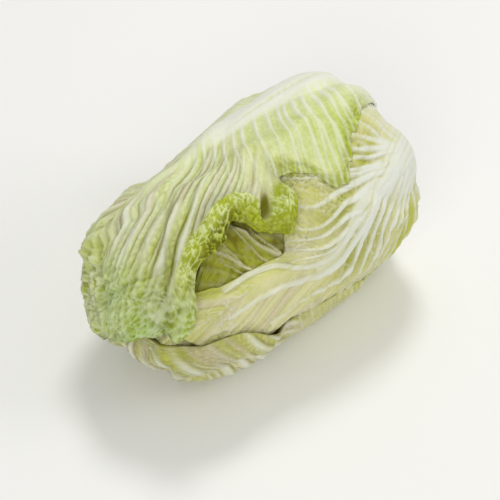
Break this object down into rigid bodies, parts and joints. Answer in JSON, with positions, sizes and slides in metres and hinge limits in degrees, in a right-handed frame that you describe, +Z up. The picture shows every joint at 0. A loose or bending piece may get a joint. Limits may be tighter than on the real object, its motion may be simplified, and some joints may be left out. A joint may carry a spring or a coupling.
{
  "type": "napa cabbage",
  "caption": "Whole napa cabbage head lying on its side, wrapper leaves closed over a dense heart, with a trimmed stem end.",
  "frame": {"origin": "on the surface the head lies on, under the middle of its bounding box", "axes": "+X along the head from the leaf tips to the cut stem end, +Z up"},
  "size_m": [0.2148, 0.1386, 0.1302],
  "materials": {
    "leaf_outer": "satin",
    "leaf_inner": "satin",
    "heart_leaves": "satin",
    "cut_stem": "matte"
  },
  "bodies": {
    "root": {"stem": "cut_stem", "heart": "heart_leaves", "leaf_1": "leaf_outer", "leaf_2": "leaf_outer", "leaf_3": "leaf_outer", "leaf_4": "leaf_inner", "leaf_5": "leaf_inner", "leaf_6": "leaf_inner", "leaf_7": "leaf_inner", "leaf_8": "leaf_inner"}
  },
  "joints": []
}
